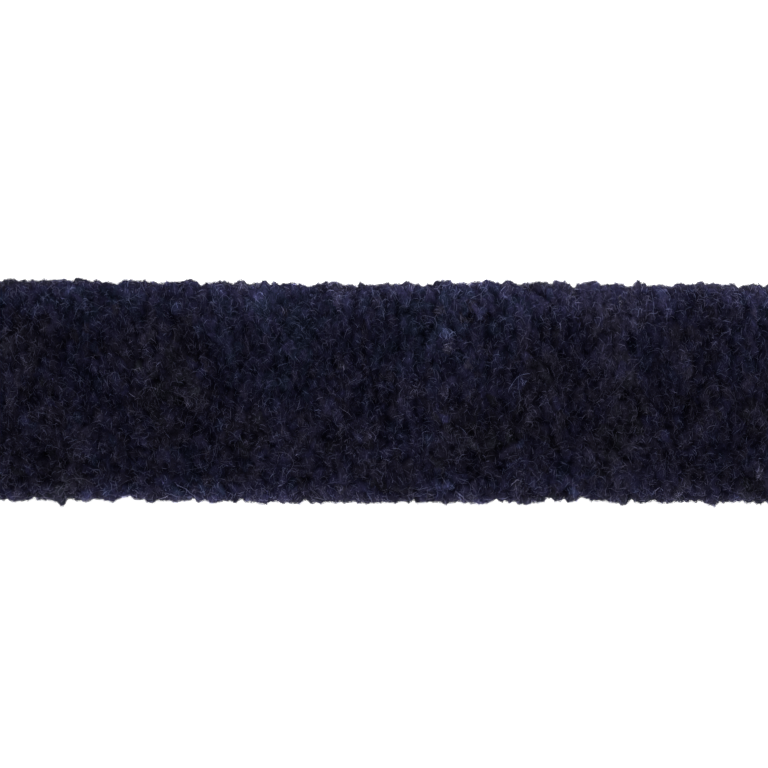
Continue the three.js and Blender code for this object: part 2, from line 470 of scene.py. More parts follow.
def tufts_at(along, across):
    """The row and column of the nearest tuft, and how high the lumps stand there.

    Each tuft is a dome that falls with the square of the distance from its centre, more slowly along its
    lean. The surface is the soft maximum of the nine domes around, the logarithm of the sum of their
    exponentials. Noise moves the places a little first, so that no tuft is even, and adds its own small
    crumbs last. Around the rim, where the ends splay, the lumps are lower and the crumbs are higher.
    Towards the skirt it all fades out.
    """
    left = HALF_ACROSS - np.abs(across)
    at_rim = np.exp(-(((left - WAIST_RUN) / RIM_BAND) ** 2))
    fine = CRUMB_HEIGHT * (1 + RIM_CRUMBS * at_rim) * soft_noise(along, across, crumb)
    moved = WARP * soft_noise(along, across, warp_along)
    across = across + WARP * soft_noise(along, across, warp_across)
    along = along + moved
    row = np.rint(along / TUFT_PITCH + (tuft_rows - 1) / 2).astype(int)
    column = np.rint(across / TUFT_PITCH + (tuft_columns - 1) / 2).astype(int)
    total = np.zeros(along.shape)
    nearest = np.full(along.shape, np.inf)
    best_row = np.zeros(along.shape, dtype=int)
    best_column = np.zeros(along.shape, dtype=int)
    for down in (-1, 0, 1):
        for over in (-1, 0, 1):
            r = np.clip(row + down, 0, tuft_rows - 1)
            c = np.clip(column + over, 0, tuft_columns - 1)
            off_along = tuft_along[r, c] - along
            off_across = tuft_across[r, c] - across
            with_lean = off_along * lean_along[r, c] + off_across * lean_across[r, c]
            off_lean = off_across * lean_along[r, c] - off_along * lean_across[r, c]
            squared = (with_lean / LUMP_STRETCH) ** 2 + (off_lean * LUMP_STRETCH) ** 2
            dome = tuft_rise[r, c] + LUMP_HEIGHT * (1 - squared / LUMP_RADIUS**2)
            total += np.exp(LUMP_SHARPNESS * dome)
            closer = squared < nearest
            nearest = np.where(closer, squared, nearest)
            best_row = np.where(closer, r, best_row)
            best_column = np.where(closer, c, best_column)
    lump = np.log(total) / LUMP_SHARPNESS - LUMP_HEIGHT / 2
    lump = LUMP_HEIGHT / 2 + lump * (1 - (1 - RIM_LUMPS) * at_rim) + fine
    return best_row, best_column, lump * unit(left, 0, SKIRT_FADE)


sample = tufts_at(*np.meshgrid(row_places, column_places / 2, indexing="ij"))[2]
print("lumps stand up to", round(sample.max() * 1000, 1), "mm over the pile")


# %% [markdown]
# Locks of yarn stand out of both rims, and between them the rim falls back, which gives the braid its
# uneven outline. They are read off the photograph from left to right, as the place along, how far out,
# and half the width, all in millimetres. They could be modelled one by one, but a relief that is the sum
# of a hundred bumps lets the skin and the fibres follow it alike.

# %% Locks and dips along the rims
RIM_FEATURES_MM = {
    1: [
        (-71.7, 0.4, 1.4), (-63.4, -0.5, 1.0), (-60.6, 0.4, 1.4), (-57.0, 0.3, 1.3), (-52.7, -0.4, 1.4),
        (-46.3, 0.6, 1.8), (-44.3, 0.2, 0.5), (-42.8, -0.9, 0.8), (-38.0, 0.4, 1.3), (-35.6, -0.3, 0.5),
        (-33.7, 0.5, 1.0), (-31.4, -0.4, 0.9), (-28.3, 1.2, 0.7), (-26.8, -0.4, 0.5), (-23.9, 0.2, 1.0),
        (-17.8, -0.6, 1.7), (-13.7, 0.5, 0.5), (-11.2, 0.5, 1.6), (-6.7, -0.3, 0.8), (-5.5, 0.6, 0.4),
        (-3.7, -0.3, 0.9), (1.9, -0.3, 0.5), (5.6, 0.4, 1.2), (9.2, -0.9, 0.8), (13.0, 0.8, 1.4),
        (15.3, 0.7, 0.8), (17.4, -0.5, 1.1), (21.5, 0.3, 1.0), (24.2, 0.8, 0.8), (29.1, 0.8, 1.3),
        (31.9, -0.4, 0.6), (35.8, 0.4, 2.3), (39.6, -0.4, 0.5), (40.6, 0.7, 0.7), (42.3, 0.2, 1.0),
        (44.6, -1.0, 0.6), (49.0, 0.4, 1.7), (51.7, -0.3, 0.6), (54.5, 0.2, 1.3), (57.6, -0.5, 1.4),
        (59.8, 0.9, 0.7), (62.5, -0.4, 0.7), (66.6, -0.3, 1.7), (69.5, 0.4, 1.1), (74.6, 0.7, 1.0),
        (78.4, 0.3, 0.7), (83.6, -0.5, 1.0), (87.3, 0.3, 1.4), (89.5, -0.5, 0.7), (94.0, 0.4, 1.2),
    ],
    -1: [
        (-93.0, 0.4, 1.1), (-88.7, -0.6, 0.5), (-86.1, 0.2, 1.4), (-82.8, -0.6, 0.9), (-79.4, 0.2, 0.6),
        (-75.9, 1.1, 1.0), (-74.7, -0.5, 0.4), (-70.3, 0.2, 1.1), (-68.4, -0.5, 0.9), (-63.9, 0.4, 1.0),
        (-60.5, -1.0, 1.5), (-54.8, 0.5, 1.3), (-49.5, 0.3, 1.1), (-46.0, -0.3, 0.9), (-44.8, -0.9, 0.6),
        (-40.2, 0.6, 1.1), (-38.0, -0.3, 0.9), (-35.2, 0.5, 0.6), (-33.7, -0.5, 0.6), (-28.5, 0.5, 2.0),
        (-25.3, -0.2, 0.6), (-20.3, 0.5, 1.0), (-18.4, -0.3, 0.9), (-15.1, 0.4, 0.9), (-10.3, -0.3, 0.6),
        (-7.2, -0.4, 0.6), (-4.1, 0.5, 0.9), (4.3, -0.4, 1.4), (6.9, -0.6, 0.4), (8.7, 0.3, 1.3),
        (14.4, 0.3, 0.6), (17.7, -0.2, 0.9), (22.1, 0.4, 1.7), (26.2, -0.8, 0.9), (32.6, 0.6, 1.5),
        (36.6, 0.3, 0.6), (38.9, -1.0, 1.1), (42.2, -0.6, 0.6), (43.5, 0.2, 0.7), (47.0, -0.6, 1.4),
        (53.9, 0.2, 1.7), (56.3, 0.8, 1.2), (58.2, -0.6, 0.6), (62.8, -0.4, 0.7), (65.8, 0.5, 1.9),
        (68.4, -0.3, 0.6), (72.6, -0.3, 1.4), (77.1, 0.8, 1.4), (81.3, -0.4, 0.6), (84.3, -0.4, 0.6),
        (88.2, 0.5, 0.7), (93.5, -0.4, 1.2),
    ],
}
FEATURE_REACH = 0.0024
rim_places = np.linspace(-HALF_ALONG, HALF_ALONG, 4000)


def rim_relief(features):
    """Relief along one rim: the sum of flat-topped bumps, the exponential of minus the fourth power."""
    place, out, half_width = np.array(features).T / 1000
    off = (rim_places[:, None] - place) / half_width
    return (out * np.exp(-(off**4))).sum(axis=1)


rim_reliefs = {side: rim_relief(features) for side, features in RIM_FEATURES_MM.items()}
print(sum(map(len, RIM_FEATURES_MM.values())), "locks and dips along the rims")


def proud(along, across):
    """How far the rim's own relief lifts the surface: all of it at the waist, gone on the top and below."""
    back = np.interp(along, rim_places, rim_reliefs[1])
    front = np.interp(along, rim_places, rim_reliefs[-1])
    lift = np.where(across > 0, back, front)
    from_waist = (np.abs(across) - (HALF_ACROSS - WAIST_RUN)) / FEATURE_REACH
    return lift * np.exp(-(from_waist**2))


def dressed_point(along, across, above):
    """Points a given height above the lumpy surface, measured along the way that the surface faces."""
    lump = tufts_at(along, across)[2] + proud(along, across)
    return pile_point(along, across) + pile_facing(along, across) * (lump + above)[..., None]


# %% [markdown]
# ## Making a mesh from arrays
#
# Every piece below ends as two arrays, its points and its faces. One helper hands them to Blender in a
# single call each, which takes a moment for hundreds of thousands of points where a loop would take
# minutes. It also writes the values that the materials read, one a point, and a UV map. The materials
# don't need the map, but each piece's colours can be painted into a picture through it. Blender can
# unwrap a mesh by itself, but a hundred thousand tiny faces would get less than a pixel each, so the maps
# here are worked out with the shapes.


# %% Put arrays into a mesh
def flat(values, kind=np.float32):
    """Values one after the other in memory, as Blender takes them."""
    return np.ascontiguousarray(values, dtype=kind).ravel()


def make_piece(name, points, faces, flat_map, material, values):
    """A new object from points (n, 3) in metres, triangles (m, 3) and their places (m, 3, 2) on its map."""
    mesh = bpy.data.meshes.new(name)
    mesh.vertices.add(len(points))
    mesh.vertices.foreach_set("co", flat(points))
    mesh.loops.add(faces.size)
    mesh.loops.foreach_set("vertex_index", flat(faces, np.int32))
    mesh.polygons.add(len(faces))
    mesh.polygons.foreach_set("loop_start", np.arange(len(faces), dtype=np.int32) * 3)
    mesh.update(calc_edges=True)
    layer = mesh.uv_layers.new(name="OFBake")
    layer.uv.foreach_set("vector", flat(flat_map))
    for value_name, value in values.items():
        attribute = mesh.attributes.new(value_name, "FLOAT", "POINT")
        attribute.data.foreach_set("value", flat(value))
    mesh.shade_smooth()
    mesh.materials.append(material)
    piece = bpy.data.objects.new(name, mesh)
    bpy.context.scene.collection.objects.link(piece)
    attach(piece, "root")
    print(name, len(faces), "triangles")
    return piece


# %% [markdown]
# ## The wool
#
# Navy wool is dyed in the yarn, and no two ends take the dye quite alike: beside plain navy there are
# bluer ends, violet ones, and some worn to a grey-blue at their tips. Wool is matt. Its shine is only the
# faint sheen of hairs seen edge on, which the materials give as a little gloss and a painted highlight:
# the rims and the loose hairs are painted paler. A picture of wool could be wrapped round the braid, but
# it would smear on the rims. So the materials read two values of each point: its hue, and its shade,
# which holds the tone of its yarn and painted light and shade: how much light reaches it between the
# tufts, and the painted highlight at the rims.


# %% Helpers for the materials
def ramp_of(tree, stops):
    """A colour ramp node from (place, (r, g, b)) stops."""
    ramp = tree.nodes.new("ShaderNodeValToRGB")
    elements = ramp.color_ramp.elements
    while len(elements) < len(stops):
        elements.new(0.5)
    for element, (place, colour) in zip(elements, stops):
        element.position = place
        element.color = (*colour, 1)
    return ramp


def value_of(tree, name):
    """The socket of a value that the mesh carries under this name."""
    node = tree.nodes.new("ShaderNodeAttribute")
    node.attribute_name = name
    return node.outputs["Fac"]


def multiplied(tree, colour, factor):
    """A colour socket times a grey value socket."""
    mix = tree.nodes.new("ShaderNodeMix")
    mix.data_type = "RGBA"
    mix.blend_type = "MULTIPLY"
    mix.inputs["Factor"].default_value = 1
    tree.links.new(colour, mix.inputs["A"])
    tree.links.new(factor, mix.inputs["B"])
    return mix.outputs["Result"]


# %% The wool material
NAVY_HUES = [
    (0.0, (0.0109, 0.0117, 0.0174)),
    (0.3, (0.0117, 0.0106, 0.0200)),
    (0.5, (0.0110, 0.0102, 0.0227)),
    (0.7, (0.0110, 0.0105, 0.0284)),
    (1.0, (0.0096, 0.0126, 0.0281)),
]
# Hair colours paler than the navy: a painted highlight for the light that fine loose hairs catch.
HAIR_HUES_PAINTED_HIGHLIGHT = [
    (0.0, (0.0220, 0.0205, 0.0330)),
    (0.5, (0.0200, 0.0200, 0.0370)),
    (1.0, (0.0180, 0.0215, 0.0420)),
]


GRAIN_SCALE = 1800
GRAIN_STRETCH = (1.4, 0.6, 1)
NOISE_LOW = 0.3
NOISE_HIGH = 0.7


def grain_of(tree, low, high):
    """A grey value from low to high in fine streaks across the braid, like felt, on Object coordinates."""
    place = tree.nodes.new("ShaderNodeTexCoord")
    stretched = tree.nodes.new("ShaderNodeMapping")
    stretched.inputs["Scale"].default_value = GRAIN_STRETCH
    noise = tree.nodes.new("ShaderNodeTexNoise")
    noise.inputs["Scale"].default_value = GRAIN_SCALE
    noise.inputs["Detail"].default_value = 4
    noise.inputs["Roughness"].default_value = 0.7
    noise.inputs["Distortion"].default_value = 2.5
    tree.links.new(place.outputs["Object"], stretched.inputs["Vector"])
    tree.links.new(stretched.outputs["Vector"], noise.inputs["Vector"])
    levels = tree.nodes.new("ShaderNodeMapRange")
    levels.inputs["From Min"].default_value = NOISE_LOW
    levels.inputs["From Max"].default_value = NOISE_HIGH
    levels.inputs["To Min"].default_value = low
    levels.inputs["To Max"].default_value = high
    tree.links.new(noise.outputs["Fac"], levels.inputs["Value"])
    return levels.outputs["Result"]


def wool(name, hues, gloss, grain=0.0):
    """Matt navy wool: the colour of the mesh's hue times its shade, and if asked for times a fine grain."""
    material, shader, tree = node_material(name)
    hue = ramp_of(tree, hues)
    tree.links.new(value_of(tree, "hue"), hue.inputs["Fac"])
    colour = multiplied(tree, hue.outputs["Color"], value_of(tree, "shade"))
    if grain:
        colour = multiplied(tree, colour, grain_of(tree, 1 - grain, 1 + grain))
    tree.links.new(colour, shader.inputs["Base Color"])
    shader.inputs["Roughness"].default_value = 0.9
    shader.inputs["Specular IOR Level"].default_value = gloss
    return material


bed_wool = wool("navy wool bed", NAVY_HUES, gloss=0.0, grain=0.8)
fibre_wool = wool("navy wool fibres", NAVY_HUES, gloss=0.02)
hair_wool = wool("loose wool hairs", HAIR_HUES_PAINTED_HIGHLIGHT, gloss=0.03)
print("finishes:", [material.name for material in (bed_wool, fibre_wool, hair_wool)])

# %% [markdown]
# ## The skin of the pile
#
# Under the fur lies a closed skin that carries the lumps. It could be left out if the fur were dense
# enough, but that takes ten times as many fibres. The skin is a grid over `along` and `across`, pushed
# out by the lumps, with a flat underside and fanned ends, and it is painted nearly black in the gaps
# between the tufts, a painted shade for the little light that reaches them.

# %% The tone and hue of a place
# By side: how much paler the wool is painted at the rim and at its very edge, a painted highlight for wool
# seen side on, and how fast it fades inward.
RIM_PAINTED_LIGHT = {1: 2.2, -1: 3.7}
RIM_LIGHT_FADE = {1: 0.0042, -1: 0.0019}
EDGE_PAINTED_LIGHT = {1: 1.5, -1: 0.8}
EDGE_LIGHT_FADE = 0.0005
# The hue at places across, from the front edge to the back one. Its greyer ends at the very edges go with
# the painted rim highlight.
HUE_ACROSS = [
    (-0.0255, 0.05), (-0.0240, 0.44), (-0.0130, 0.34), (0.0030, 0.43),
    (0.0110, 0.50), (0.0220, 0.65), (0.0243, 0.56), (0.0255, 0.10),
]
# The gaps are tinted bluer along with their painted shade.
GAP_BLUER = 0.15
HUE_SPREAD = {"tuft": 0.14, "patch": 0.11, "region": 0.07}
TUFT_CONTRAST = 0.24
PATCH_CONTRAST = 0.115
# The painted shade towards the foot of the tufts: the darkest it gets, the heights where it is full and
# where it ends, and how fast it deepens.
DARKEST = 0.30
DARK_BELOW = -0.0004
LIGHT_ABOVE = 0.0011
DEEPENING = 1.2


def look(row, column, across, height, chance=0.0):
    """Shade, a factor on the colour, and hue from 0 to 1, for points at a height over the foot of their
    tufts.

    The shade is the exponential of the tuft's own tone, its patch's tone, the slow drift and the fibre's
    chance, times painted light and shade: it falls towards the foot, a painted shade where little light
    gets in, and grows near the rims, a painted highlight for the wool seen side on, most of all at the
    very edge, but not below. The hue is looked up by the place across: bluer towards the rims, bluer in
    the gaps with their painted shade, but greyer at the very edge with its painted highlight. The tuft,
    its patch, its region and the drift each move it a little.
    """
    left = HALF_ACROSS - np.abs(across)
    inset = np.interp(left, profile_run, profile_inset)
    # Painted highlight: the rims, where the wool is seen side on, are painted paler, most of all at the
    # very edge, fading out below the waist.
    paler = np.where(across >= 0, RIM_PAINTED_LIGHT[1], RIM_PAINTED_LIGHT[-1])
    fade = np.where(across >= 0, RIM_LIGHT_FADE[1], RIM_LIGHT_FADE[-1])
    edge_highlight = np.where(across >= 0, EDGE_PAINTED_LIGHT[1], EDGE_PAINTED_LIGHT[-1])
    painted_rim_highlight = paler * np.exp(-inset / fade) + edge_highlight * np.exp(-inset / EDGE_LIGHT_FADE)
    rim = 1 + painted_rim_highlight * unit(left, 0, WAIST_RUN)
    # Painted shade: darker towards the foot of the tufts, where little light gets in.
    depth = 1 - unit(height, DARK_BELOW, LIGHT_ABOVE) ** DEEPENING
    painted_shade = 1 - (1 - DARKEST) * depth
    tone = TUFT_CONTRAST * tuft_tone[row, column] + PATCH_CONTRAST * tuft_patch[row, column] + chance
    tone = tone + tuft_paler[row, column] + tone_drift[row, column]
    places, hues = np.array(HUE_ACROSS).T
    hue = np.interp(np.sign(across) * (BAND_WIDTH / 2 - inset), places, hues) + GAP_BLUER * depth
    hue = hue + HUE_SPREAD["tuft"] * tuft_hue[row, column] + HUE_SPREAD["patch"] * hue_patch[row, column]
    hue = hue + HUE_SPREAD["region"] * hue_region[row, column] + hue_drift[row]
    own = own_hue[row, column]
    hue = np.where(np.isnan(own), hue, own)
    return np.exp(tone) * rim * painted_shade, np.clip(hue, 0, 1)


# %% Close rings into a tube
END_STRIP = 0.01


def tube(rings_of_points):
    """Points, outward triangles and flat map of a closed tube, from rings (r, n, 3) anticlockwise as seen
    from +X.

    Each ring is joined to the next, and the first and the last ring are closed by a fan about their
    middles. On the map a ring is an upright line and the way round it runs up, with the fans as two rows
    of spikes at the sides.
    """
    rings, around, _ = rings_of_points.shape
    number = np.arange(rings * around).reshape(rings, around)
    following = np.roll(number, -1, axis=1)
    quads = np.stack([number[:-1], following[:-1], following[1:], number[1:]], axis=-1).reshape(-1, 4)
    first = np.full(around, rings * around)
    first_fan = np.stack([following[0], number[0], first], axis=-1)
    last_fan = np.stack([number[-1], following[-1], first + 1], axis=-1)
    points = np.concatenate([rings_of_points.reshape(-1, 3), rings_of_points[[0, -1]].mean(axis=1)])
    triangles = np.concatenate([quads[:, [0, 1, 2]], quads[:, [0, 2, 3]], first_fan, last_fan])
    right = np.linspace(END_STRIP, 1 - END_STRIP, rings)
    up = np.linspace(0, 1, around + 1)
    place = np.stack(np.meshgrid(right, up, indexing="ij"), axis=-1)
    corners = np.stack([place[:-1, :-1], place[:-1, 1:], place[1:, 1:], place[1:, :-1]], axis=2)
    corners = corners.reshape(-1, 4, 2)
    between = (place[0, 1:] + place[0, :-1]) / 2
    first_spikes = np.stack([place[0, 1:], place[0, :-1], between * [0, 1]], axis=1)
    last_spikes = np.stack([place[-1, :-1], place[-1, 1:], between * [0, 1] + [1, 0]], axis=1)
    flat_map = np.concatenate([corners[:, [0, 1, 2]], corners[:, [0, 2, 3]], first_spikes, last_spikes])
    return points, triangles, flat_map


def tube_values(over, plain, plain_count):
    """Values for a tube's points: those of the worked face (r, n), and one plain value for the others."""
    rest = np.full((len(over), plain_count), plain)
    return np.concatenate([np.concatenate([over, rest], axis=1).ravel(), [plain, plain]])


# %% Build the skin
SKIN_STEP = 0.00042
SKIN_DEPTH = 0.00025
UNDERSIDE_SHARES = np.array([0.02, 0.35, 0.65, 0.98])
PLAIN_HUE = 0.4


def skin():
    """The pile's lumpy skin: rings over the pile from skirt to skirt and back along the flat underside."""
    rings = int(2 * HALF_ALONG / SKIN_STEP) + 1
    over = int(2 * HALF_ACROSS / SKIN_STEP) + 1
    places_along = np.linspace(-HALF_ALONG, HALF_ALONG, rings)
    places_across = np.linspace(HALF_ACROSS, -HALF_ACROSS, over)
    along, across = np.meshgrid(places_along, places_across, indexing="ij")
    row, column, lump = tufts_at(along, across)
    top = dressed_point(along, across, -SKIN_DEPTH)
    shade, hue = look(row, column, across, lump - SKIN_DEPTH)
    share = UNDERSIDE_SHARES[None, :, None]
    under = top[:, -1:] * (1 - share) + top[:, :1] * share
    under[..., 2] = UNDERSIDE
    count = len(UNDERSIDE_SHARES)
    # The flat underside and the middles of the fans take the darkest painted shade.
    values = {"shade": tube_values(shade, DARKEST, count), "hue": tube_values(hue, PLAIN_HUE, count)}
    return np.concatenate([top, under], axis=1), values


skin_rings, skin_values = skin()
bed = make_piece("pile_skin", *tube(skin_rings), bed_wool, skin_values)
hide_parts("pile")

# %% [markdown]
# ## The fibres
#
# A fibre is a thin spindle: a line of three points with a triangle of width at its bend, closed to a
# point at each end, six faces in all. Its root is buried in the skin near a tuft's centre and it bends
# out over the surface in a direction of its own, a millimetre or so long. Nearly ninety thousand of them
# cover about a quarter of the skin. Hair curves would be the usual way, but a mesh can be exported, and
# spindles this small cost little.

# %% Spindles along lines
ODD_DIRECTION = np.array([0.31, 0.47, 0.83])
TINY = 1e-9


def spindles(lines, width):
    """Closed three-sided spindles along lines (n, k, 3), pointed at both ends and of one width between.

    At each inner point two directions square to the line span the section, and its corners are a third of
    a turn apart. The first of the two is square to an odd direction as well, which no fibre runs along.
    """
    count, line_points, _ = lines.shape
    ahead = lines[:, 2:] - lines[:, :-2]
    ahead /= np.maximum(np.linalg.norm(ahead, axis=-1, keepdims=True), TINY)
    side = np.cross(ahead, ODD_DIRECTION)
    side /= np.maximum(np.linalg.norm(side, axis=-1, keepdims=True), TINY)
    up = np.cross(side, ahead)
    angles = np.arange(3) * 2 * math.pi / 3
    spread = side[:, :, None] * np.cos(angles)[:, None] + up[:, :, None] * np.sin(angles)[:, None]
    inner = lines[:, 1:-1, None] + spread * (width / 2)
    points = np.concatenate([lines[:, :1], inner.reshape(count, -1, 3), lines[:, -1:]], axis=1)
    corner = np.arange(3)
    after = (corner + 1) % 3
    last = 3 * (line_points - 2) + 1
    faces = [np.stack([np.zeros(3, int), 1 + corner, 1 + after], axis=-1)]
    for k in range(line_points - 3):
        start = 1 + 3 * k
        faces.append(np.stack([start + corner, start + 3 + after, start + after], axis=-1))
        faces.append(np.stack([start + corner, start + 3 + corner, start + 3 + after], axis=-1))
    faces.append(np.stack([last - 3 + after, last - 3 + corner, np.full(3, last)], axis=-1))
    one = np.concatenate(faces)
    per = points.shape[1]
    all_faces = (one[None] + (np.arange(count) * per)[:, None, None]).reshape(-1, 3)
    return points.reshape(-1, 3), all_faces, per


# %% A map by colour
MAP_MARGIN = 0.03
MAP_NUDGE = 0.003


def colour_map(shade, hue, faces, points_each):
    """Places on a picture for strands, by colour: the hue runs to the right and the logarithm of the
    shade upwards.

    Strands of one colour share a place, so a small picture holds them all. The points of a strand stand a
    pixel or two apart there, because a face without width would stay unpainted: the corners of a section
    from left to right, and each section above the last.
    """
    corner = np.arange(points_each - 2) % 3
    section = np.arange(points_each - 2) // 3
    right = np.concatenate([[0], corner - 1, [0]])
    up = np.concatenate([[-1], 2 * section + 0.5 * (corner == 1), [2 * section[-1] + 2]])
    nudge = np.tile(np.stack([right, up], axis=-1), (len(shade) // points_each, 1))
    level = np.log(shade)
    level = (level - level.min()) / np.ptp(level)
    place = MAP_MARGIN + (1 - 2 * MAP_MARGIN) * np.stack([hue, level], axis=-1) + MAP_NUDGE * nudge
    return place[faces]


def strand_piece(name, lines, width, shade, hue, material):
    """A piece of spindles, with a shade for every point of the lines and a hue for every line."""
    points, faces, per = spindles(lines, width)
    section_corners = [1] + [3] * (lines.shape[1] - 2) + [1]
    shades = np.repeat(shade, section_corners, axis=1).ravel()
    hues = np.repeat(hue, per)
    flat_map = colour_map(shades, hues, faces, per)
    piece = make_piece(name, points, faces, flat_map, material, {"shade": shades, "hue": hues})
    return piece


# %% How fibres lie at the rims
LEAN_REACH = 0.018
RIM_CALM = 0.35
CALM_FROM = 0.001
CALM_TO = 0.007


def calm(across):
    """How much of its height a fibre keeps: all on the top, and a share at the rim, where it is pressed."""
    from_waist = np.abs(HALF_ACROSS - np.abs(across) - WAIST_RUN)
    return RIM_CALM + (1 - RIM_CALM) * unit(from_waist, CALM_FROM, CALM_TO)


def near_rim(across):
    """From 0 over the middle of the braid to 1 at the rims."""
    return unit(np.abs(across), HALF_ACROSS - LEAN_REACH, HALF_ACROSS - LEAN_REACH / 2)


# %% Root the fibres
FIBRES_A_TUFT = 28
ROOT_SPREAD = 0.6
SKIRT_MARGIN = 0.0005


def fibre_roots():
    """For every fibre the row and column of its tuft, and its root's turn about the tuft's centre and place
    along and across.

    Roots lie evenly over a disc: the turn is any, and the distance is the radius times the square root of a
    chance from 0 to 1.
    """
    row, column = np.meshgrid(np.arange(tuft_rows), np.arange(tuft_columns), indexing="ij")
    row = np.repeat(row.ravel(), FIBRES_A_TUFT)
    column = np.repeat(column.ravel(), FIBRES_A_TUFT)
    turn = rng.uniform(0, 2 * math.pi, len(row))
    offset = TUFT_PITCH * ROOT_SPREAD * np.sqrt(rng.uniform(0, 1, len(row)))
    along = tuft_along[row, column] + offset * np.cos(turn)
    across = tuft_across[row, column] + offset * np.sin(turn)
    kept = (np.abs(along) < HALF_ALONG) & (np.abs(across) < HALF_ACROSS - SKIRT_MARGIN)
    return [part[kept] for part in (row, column, turn, along, across)]


# %% Choose the way that each fibre runs
# The shares of fibres that follow their tuft, over the middle and at a rim, and that are led straight out.
FOLLOWING = 0.90
RIM_FOLLOWING = 0.40
LED_OUT = 0.35
HEADING_SPREAD = {"led": 0.5, "leaning": 0.4, "away": 1.0}


def fibre_headings(row, column, turn, across):
    """The angle between the braid's length and the way that each fibre runs over the surface.

    Most fibres head the way their tuft leans, to either side, and the others away from its centre. Near a
    rim fewer follow their tuft, and some run straight out.
    """
    count = len(row)
    outward = near_rim(across)
    led = rng.uniform(0, 1, count) < LED_OUT * outward
    straight_out = np.sign(across) * math.pi / 2 + rng.normal(0, HEADING_SPREAD["led"], count)
    either = math.pi * rng.integers(0, 2, count)
    leaning = tuft_lean[row, column] + either + rng.normal(0, HEADING_SPREAD["leaning"], count)
    away = turn + rng.normal(0, HEADING_SPREAD["away"], count)
    following = rng.uniform(0, 1, count) < FOLLOWING + (RIM_FOLLOWING - FOLLOWING) * outward
    return np.where(led, straight_out, np.where(following, leaning, away))


# %% Grow the fur
FIBRE_WIDTH = 0.00009
FIBRE_CONTRAST = 0.66
FIBRE_LENGTH = {"shape": 3, "scale": 0.00035}
FIBRE_SWING = 0.25
FIBRE_RISE = np.array([0, 0.00018, 0.00032])
RISE_FACTORS = (0.3, 1.5)
ROOT_DEPTH = 0.0005


def fur():
    """Lines of three points for every fibre, their shades and hues, and the place of each root along the
    braid.

    From its root a fibre runs a chosen length over the surface, swings a little to one side at its bend,
    and ends at its own height above the lumps.
    """
    row, column, turn, along, across = fibre_roots()
    heading = fibre_headings(row, column, turn, across)
    count = len(row)
    length = rng.gamma(**FIBRE_LENGTH, size=count)
    swing = length * rng.normal(0, FIBRE_SWING, count)
    share = np.array([0, 0.5, 1.0])
    bow = np.array([0, 1.0, 0])
    rise = FIBRE_RISE * rng.uniform(*RISE_FACTORS, count)[:, None]
    s = along[:, None] + np.outer(length * np.cos(heading), share) - np.outer(swing * np.sin(heading), bow)
    t = across[:, None] + np.outer(length * np.sin(heading), share) + np.outer(swing * np.cos(heading), bow)
    s = np.clip(s, -HALF_ALONG, HALF_ALONG)
    t = np.clip(t, -HALF_ACROSS, HALF_ACROSS)
    above = rise * calm(t) - ROOT_DEPTH * (share == 0)
    lines = dressed_point(s, t, above)
    lines[..., 2] = np.maximum(lines[..., 2], SKIRT)
    chance = np.repeat(rng.normal(0, FIBRE_CONTRAST, count)[:, None], 3, axis=1)
    shade, hue = look(row[:, None], column[:, None], t, tufts_at(s, t)[2] + above, chance)
    return lines, shade, hue[:, 0], along


fur_lines, fur_shade, fur_hue, fur_along = fur()
print(len(fur_lines), "fibres")

# %% [markdown]
# Half a million faces are too many for one piece of a model that is shared, so the fur is made as four
# pieces, one after the other along the braid, with as many fibres in each.

# %% Cut the fur into four pieces
FUR_PIECES = ["fur_left_end", "fur_left", "fur_right", "fur_right_end"]
cuts = np.quantile(fur_along, np.linspace(0, 1, len(FUR_PIECES) + 1))
cuts[-1] += TINY
for name, start, end in zip(FUR_PIECES, cuts[:-1], cuts[1:]):
    chosen = (fur_along >= start) & (fur_along < end)
    parts = (fur_lines[chosen], FIBRE_WIDTH, fur_shade[chosen], fur_hue[chosen])
    strand_piece(name, *parts, fibre_wool)

# %% [markdown]
# ## The loose hairs
#
# Sixteen thousand longer hairs lie over the fur, the ones that have worked loose. They curl, they are
# finer than the rest and painted paler, a painted highlight for the light they catch, and they are what
# the eye reads as wool in the photograph. Here and there one is half a centimetre long and lies on top of
# all in a wide arc. A hair that curls at random could be a noise along a curve, but a heading that turns
# by chance at each step gives loops as real wool has.

# %% Curly lines over the surface
HAIR_SWAY = 0.55
RIM_SWAY = 0.9
STRAY_SHARE = 0.04
STRAY_LIFT = 2.2
HAIR_REACH = 0.96 * HALF_ACROSS
HAIR_CLEARANCE = 0.0001
HAIR_ROOT_DEPTH = 0.0003
HAIR_LIFT = (0.0002, 0.0007)
STEP_SHAPE = 5
HAIR_HUE = {"bluer": 0.1, "spread": 0.2}


